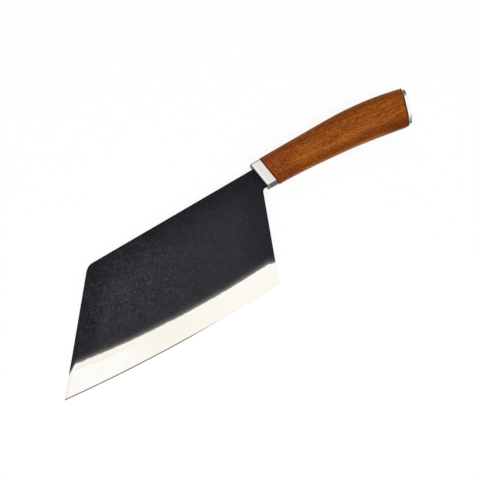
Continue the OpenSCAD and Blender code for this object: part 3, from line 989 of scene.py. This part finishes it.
def grained_wood(place, swell, painted_belly_light, rear):
    """The wood's colour, fibres and pores: streaks along the grain, a redder mottled front
    with a dark stain, a golden band behind it, and a paler corner along the belly, which is
    painted light."""
    x, y, z = parts_of(place)

    # The grain falls a little towards the butt and wanders
    wander = (noise(place, 0.03, 2.0) - 0.5) * 3.5
    along = x * math.cos(GRAIN_TILT) + y * math.sin(GRAIN_TILT)
    across = y * math.cos(GRAIN_TILT) - x * math.sin(GRAIN_TILT) + wander
    deep = z + wander * 0.6

    def drawn_out(length, width, *settings):
        """Noise drawn out along the grain."""
        return noise(vector(along * length, across * width, deep * width), *settings)

    figure = drawn_out(0.02, 0.13, 1.0, 2.0) - 0.5
    streaks = drawn_out(0.06, 0.75, 1.0, 3.0, 0.6) - 0.5
    fibres = drawn_out(0.34, 2.5, 1.0, 2.0, 0.6) - 0.5
    pores = rise(drawn_out(0.4, 1.6, 1.3, 1.0), 0.6, 0.72)
    mottle = noise(place, 0.95, 2.0, 0.6) - 0.5
    band = soft_spot((y - GOLD_BAND_Y + x * GOLD_BAND_FALL) / GOLD_BAND_HALF)
    front = 1 - rise(x + mottle * 8.0 + band * 6.0, *RED_END)
    golden = band * (1 - front) * (1 - rise(x, 40.0, 110.0))
    stain = soft_spot((x - STAIN_X) / STAIN_HALF_L, (y - STAIN_Y) / STAIN_HALF_H)
    share = 0.46 + figure * 0.4 + streaks * 0.9 + fibres * 1.9 + mottle * (0.55 + front * 2.0)
    share = share + golden * 0.13 - front * 0.06 - stain * 0.2
    # Painted light along the belly's corner, kept off the rear
    share = share + painted_belly_light * (0.14 + swell * 0.14) * (1 - rear)
    tone = blend(rise(share, 0.0, 0.5, "LINEAR"), WOOD_DARK, WOOD_BROWN)
    tone = blend(rise(share, 0.5, 1.0, "LINEAR"), tone, WOOD_GOLD)
    tone = blend(front * 0.45, tone, WOOD_RED)
    tone = blend(pores * 0.35, tone, PORE_BROWN)
    return tone, fibres, pores


def wood_finish():
    """Oiled hardwood with painted shade along its facets and a dark line under its back, dark
    joints at both ends, and a painted sheen on its back.
    """
    material, place = new_finish("oiled_hardwood")
    x, y, z = parts_of(place)

    # Depth below the handle's back and height above its belly
    past = (x - DROOP_START).at_least(0.0)
    from_back = GRIP_RISE - past * past / (2 * DROOP_R) - y
    swell = swell_at(x, GRIP_SIZES["Swell start"], GRIP_SIZES["Swell end"])
    front_h = GRIP_SIZES["Height, front"]
    from_belly = front_h + swell * (BUTT_H - front_h) - from_back
    rear = rise(x, *REAR)
    tone, fibres, pores = grained_wood(place, swell, fading(from_belly, 0.8), rear)

    # Painted shade along the facets, which turn away from the light, darkest low on the belly
    # towards the butt, and dark joints at both ends
    butt_gap = (GRIP_REACH - x + (y - BUTT_MID_Y) * math.tan(BUTT_LEAN)) * math.cos(BUTT_LEAN)
    front_gap = x * math.cos(BOLSTER_LEAN) + y * math.sin(BOLSTER_LEAN) - BOLSTER_T - LINER_T
    belly_shade = rise(from_belly, 0.3, 2.2 + swell).at_least(rear)
    belly_shade = belly_shade * (1 - rise(from_belly, 3.0 + swell, 7.0 + swell * 4.0))
    facet_shade_and_joints = (1 - rise(from_back, 2.0, 8.0)) * 0.5
    facet_shade_and_joints = facet_shade_and_joints.at_least(belly_shade * (0.45 + swell * 0.2 + rear * 0.2))
    for gap in (butt_gap, front_gap):
        facet_shade_and_joints = facet_shade_and_joints.at_least((1 - rise(gap, 0.2, 2.0)) * 0.6)
    tone = blend(facet_shade_and_joints, tone, SHADE_AND_JOINT_BROWN)

    # Painted shade: a dark line under the back's edge, where the side turns into the upper facet,
    # drawn out along the fibres; above it a painted sheen on the back's edge
    behind = x - SHADE_LINE_X
    shade_line_y = SHADE_LINE_Y - behind * SHADE_LINE_FALL - behind ** 2.0 * SHADE_LINE_CURVE
    shade_line = soft_spot((y - shade_line_y + fibres * 2.0) / SHADE_LINE_HALF)
    shade_line = shade_line * (1 - rise(x, 30.0, 110.0) * 0.75)
    tone = blend(shade_line * 0.42, tone, SHADE_LINE_BROWN)
    # Painted sheen along the back's edge, strongest on the facets
    painted_sheen = fading(from_back, 1.1) * (0.2 + 0.8 * rise(abs(z), 4.5, 7.5))
    tone = blend(painted_sheen * 0.58, tone, BACK_SHEEN_GREY)
    relief = fibres * 0.7 + (1 - pores) * 0.5
    rough = 0.38 + fibres * 0.2 + pores * 0.12
    return coat(material, tone, rough, relief, 0.06, 0.5, Specular_IOR_Level=0.07)


handle = shape_on_grip("handle_wood", handle_rings(), True, GRIP_SOFTEN, wood_finish())
settle(handle, "handle")

# The bedding of the tang
# Adhesive that was poured into the slot and the bore and has set hard. It fills the room
# between tang, rod and wood, so that nothing in the handle can work loose.
HONEY_DEEP, HONEY_PALE = (196, 168, 112), (222, 200, 150)
BUBBLE_PALE = (236, 224, 190)


def adhesive_finish():
    """Cured adhesive: honey coloured, with small bubbles."""
    material, place = new_finish("cured_adhesive")
    cloud = noise(place, 0.5, 3.0)
    bubbles = rise(noise(place, 2.4, 1.0), 0.62, 0.7)
    tone = blend(bubbles * 0.6, blend(cloud, HONEY_DEEP, HONEY_PALE), BUBBLE_PALE)
    return coat(material, tone, 0.28, bubbles, 0.08, 0.6)


dress("tang_bedding", adhesive_finish())

# The washer and the nut
# A steel washer on the floor of the counterbore and a hexagon nut on the rod's thread.
# They draw the wood against the bolster, and the end cap hides them.
ZINC_GREY, ZINC_PALE = (182, 184, 188), (214, 215, 216)


def pressed_finish():
    """Zinc-bright fastener steel with light handling marks."""
    material, place = new_finish("fastener_steel")
    marks = noise(place, 1.1, 4.0, 0.65)
    tone = blend(marks, ZINC_GREY, ZINC_PALE)
    return coat(material, tone, 0.26 + marks * 0.2, marks, 0.03, 0.4, Metallic=1.0)


fastener = pressed_finish()
for hidden in ("clamp_washer", "clamp_nut"):
    dress(hidden, fastener)

# The rear liner
# A sheet of the same dark fibre as in front, with no slot, cut to the handle's section.
# It lies between the butt of the wood and the end cap.
rear_liner = shape_on_grip("rear_liner_fibre", liner_rings(grip_butt), False, STEEL_SOFTEN, fibre)
settle(rear_liner, "rear_liner")

# The end cap
# A steel plate cut to the handle's section, with a rounded rim, polished bright, and a
# gently domed satin back. Two blind holes in its front take the pins that hold it.
CAP_T = 2.8
CAP_ROUND = 1.1
CAP_ROUND_STEPS = 8
CAP_DOME = 0.8
CAP_DOME_STEPS = 8
CAP_SOFTEN = 3.0              # softening of the cap's long corners
CAP_FLAT_SHARE = 0.12
CAP_INSETS = (1.5, 0.5)
DOME_REACH = (GRIP_SIZES["Width, butt"] / 2 - CAP_ROUND) * (1 - CAP_FLAT_SHARE)
POLISHED_COOL, POLISHED_WARM = (246, 247, 246), (253, 252, 249)
SATIN_GREY, SATIN_PALE = (198, 199, 199), (222, 222, 220)


def cap_rings():
    rings = flat_face(cap_front, STEEL_STEP, (*CAP_INSETS, EDGE_BREAK))
    rings += [(shifted(cap_front, EDGE_BREAK), STEEL_STEP, None)]
    rings += rounded_rim(shifted(cap_front, CAP_T), STEEL_STEP, CAP_ROUND, CAP_ROUND_STEPS, -1)
    for i in range(1, CAP_DOME_STEPS + 1):
        share = i / CAP_DOME_STEPS
        thickness = CAP_T + CAP_DOME * (1 - (1 - share) ** 2)
        inset = STEEL_STEP + CAP_ROUND + DOME_REACH * share
        rings.append((shifted(cap_front, thickness), inset, None))
    return rings


def cap_finish():
    """Steel, polished bright round the rim and satin on the domed back."""
    material, place = new_finish("polished_cap")
    x, y, z = parts_of(place)
    hair = noise(vector(x * 0.4, y * 4.0, z * 0.4), 1.0, 3.0, 0.6)
    cloud = noise(place, 0.2, 2.0)
    depth = (x - GRIP_REACH) * math.cos(BUTT_LEAN) - (y - BUTT_MID_Y) * math.sin(BUTT_LEAN)
    domed = rise(depth, LINER_T + CAP_T, LINER_T + CAP_T + CAP_DOME / 2)
    brushed = noise(vector(x * 0.3, y * 0.3, z * 6.0), 1.0, 3.0, 0.6)
    satin = blend(rise(brushed, 0.3, 0.7), SATIN_GREY, SATIN_PALE)
    tone = blend(domed, blend(cloud, POLISHED_COOL, POLISHED_WARM), satin)
    relief = hair * (1 - domed) * 0.3 + brushed * domed
    rough = 0.1 + hair * 0.08 + domed * 0.14
    return coat(material, tone, rough, relief, 0.02, 0.3, Metallic=1.0)


end_cap = shape_on_grip("end_cap_plate", cap_rings(), False, CAP_SOFTEN, cap_finish())
settle(end_cap, "end_cap")

# The cap pins
# Two plain steel pins, pressed into blind holes in the wood and in the cap, which they
# hold. Nothing of them shows once the cap is on.
dress("cap_pins", fastener)

# The studio
# A pale seamless floor that touches the knife where it rests, at the tip and along the
# lower front edge of the wood, under an even sky that is darker towards the horizon.
FLOOR_R = 9.0
FLOOR_SIDES = 96
REST_HIGH, REST_LOW = 2.9, -16.0   # the wood's front lower edge runs between these heights
CLEARANCE = 0.02
FLOOR_GLOW = 0.88             # how far the lens sees the paper as plain white
PAPER_GREY, PAPER_WHITE = (250, 250, 250), (254, 254, 254)


def rest_plane():
    """The plane through the blade's tip and the wood's front lower edge."""
    def wood_edge(y):
        x = grip_front[0] + (y - grip_front[1]) * math.tan(grip_front[2])
        return Vector((x, y, -GRIP_SIZES["Width, front"] / 2 - CLEARANCE))
    high, low = wood_edge(REST_HIGH), wood_edge(REST_LOW)
    tip = Vector((TIP.x, TIP.y, -EDGE_FLAT_T / 2 - CLEARANCE))
    normal = (high - tip).cross(low - tip).normalized()
    if normal.z < 0:
        normal = -normal
    return at(*tip), normal


def floor_mesh():
    touch, normal = rest_plane()
    drop = touch.dot(normal) / normal.z
    mesh = bmesh.new()
    rim = []
    for i in range(FLOOR_SIDES):
        a = 2 * math.pi * i / FLOOR_SIDES
        x, y = FLOOR_R * math.cos(a), FLOOR_R * math.sin(a)
        rim.append(mesh.verts.new((x, y, drop - (x * normal.x + y * normal.y) / normal.z)))
    mesh.faces.new(rim)
    return mesh


def floor_finish():
    """White paper: it takes the object's shadow, and lens and metal see it as white."""
    material = bpy.data.materials.new("studio_paper")
    material.use_nodes = True
    tree = material.node_tree
    tree.nodes.clear()
    path = node(tree, "ShaderNodeLightPath")
    seen = Field(tree, path.outputs["Is Camera Ray"])
    for ray in ("Is Glossy Ray", "Is Transmission Ray"):
        seen = seen.at_least(path.outputs[ray])
    source = node(tree, "ShaderNodeTexCoord")
    mottle = noise(Field(tree, source.outputs["Object"]), 60.0, 3.0)
    paper = node(tree, "ShaderNodeBsdfDiffuse", Color=blend(mottle, PAPER_GREY, PAPER_WHITE))
    glow = node(tree, "ShaderNodeEmission", Strength=1.0)
    lit = node(tree, "ShaderNodeMixShader", seen * FLOOR_GLOW, paper.outputs[0], glow.outputs[0])
    node(tree, "ShaderNodeOutputMaterial", Surface=lit.outputs[0])
    return material


floor = make_piece("studio_floor", floor_mesh())
floor.data.materials.append(floor_finish())

SKY_LEAN = math.radians(6.0)
# Levels of the sky by the sine of the height above the horizon
SKY_LEVELS = [(0.0, 0.1), (0.4, 0.14), (0.6, 0.35), (0.75, 0.7), (0.87, 0.95), (0.93, 1.0)]
WALL_WHITE = (247, 247, 247)


def studio_sky():
    """A wide white screen round the lens that fades to a dark horizon, so that flat metal
    is pale and what turns away is darker. It leans a little to the cutting edge's side, and
    a white wall stands beyond the butt."""
    world = bpy.data.worlds.new("studio_sky")
    bpy.context.scene.world = world
    world.use_nodes = True
    tree = world.node_tree
    source = node(tree, "ShaderNodeTexCoord")
    x, y, z = parts_of(Field(tree, source.outputs["Generated"]))
    ramp = node(tree, "ShaderNodeValToRGB", z * math.cos(SKY_LEAN) - y * math.sin(SKY_LEAN))
    ramp.color_ramp.interpolation = "EASE"
    elements = ramp.color_ramp.elements
    while len(elements) < len(SKY_LEVELS):
        elements.new(0.5)
    for element, (where, level) in zip(elements, SKY_LEVELS):
        element.position = where
        element.color = (level, level, level, 1.0)
    wall = rise(x, 0.35, 0.6) * (1 - rise(abs(y), 0.3, 0.5))
    both = blend(wall, Field(tree, ramp.outputs[0]), WALL_WHITE)
    feed(tree, tree.nodes["Background"].inputs["Color"], both)


studio_sky()

LAMP_PLACE = Vector((-0.1, -0.25, 1.3))
LAMP_SIZE = 0.7
LAMP_WATTS = 7.6


def key_lamp():
    """A square lamp behind a diffuser, turned to face the knife. Metal doesn't mirror it."""
    lamp = linked("key_lamp", bpy.data.lights.new("key_lamp", "AREA"))
    lamp.data.shape = "SQUARE"
    lamp.data.size = LAMP_SIZE
    lamp.data.energy = LAMP_WATTS
    facing = (-LAMP_PLACE).to_track_quat("-Z", "Y").to_matrix().to_4x4()
    lamp.matrix_world = Matrix.Translation(LAMP_PLACE) @ facing
    lamp.visible_glossy = False


key_lamp()
